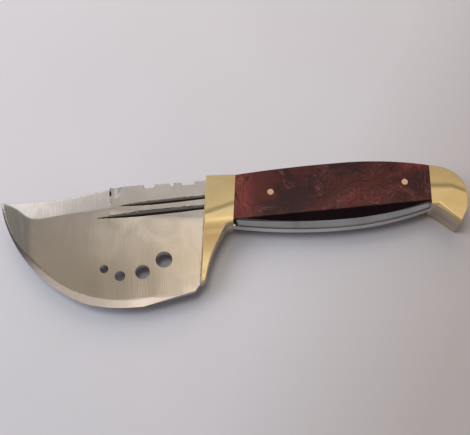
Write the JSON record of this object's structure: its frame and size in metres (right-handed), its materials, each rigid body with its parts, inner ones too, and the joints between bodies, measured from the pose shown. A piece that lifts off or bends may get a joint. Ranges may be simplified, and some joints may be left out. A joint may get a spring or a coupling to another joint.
{
  "type": "knife",
  "caption": "Fixed-blade full-tang skinning knife with a deep round belly, drilled holes, fullers and a filed spine, brass guard and beaked pommel, and marbled red resin scales",
  "frame": {"origin": "under the middle of the knife's box, on the plane that its right side rests on", "axes": "+X from the point to the pommel, +Y from the edge to the spine, +Z out of the left face"},
  "size_m": [0.227, 0.0624, 0.018],
  "materials": {
    "blade_steel": "ground and polished to a soft mirror",
    "brass": "polished",
    "liner_steel": "satin, ground flush with the scales",
    "marbled_resin": "cast resin, dark red and black swirls, polished",
    "copper": "copper-coloured pin, ground flush and polished"
  },
  "bodies": {
    "root": {"blade": "blade_steel", "front_bolster_left": "brass", "front_bolster_right": "brass", "pommel_left": "brass", "pommel_right": "brass", "liner_left": "liner_steel", "liner_right": "liner_steel", "scale_left": "marbled_resin", "scale_right": "marbled_resin", "scale_pin_front": "copper", "scale_pin_rear": "copper", "bolster_dowel_upper": "brass", "bolster_dowel_lower": "brass", "guard_dowel": "brass", "pommel_dowel_upper": "brass", "pommel_dowel_lower": "brass"}
  },
  "joints": []
}
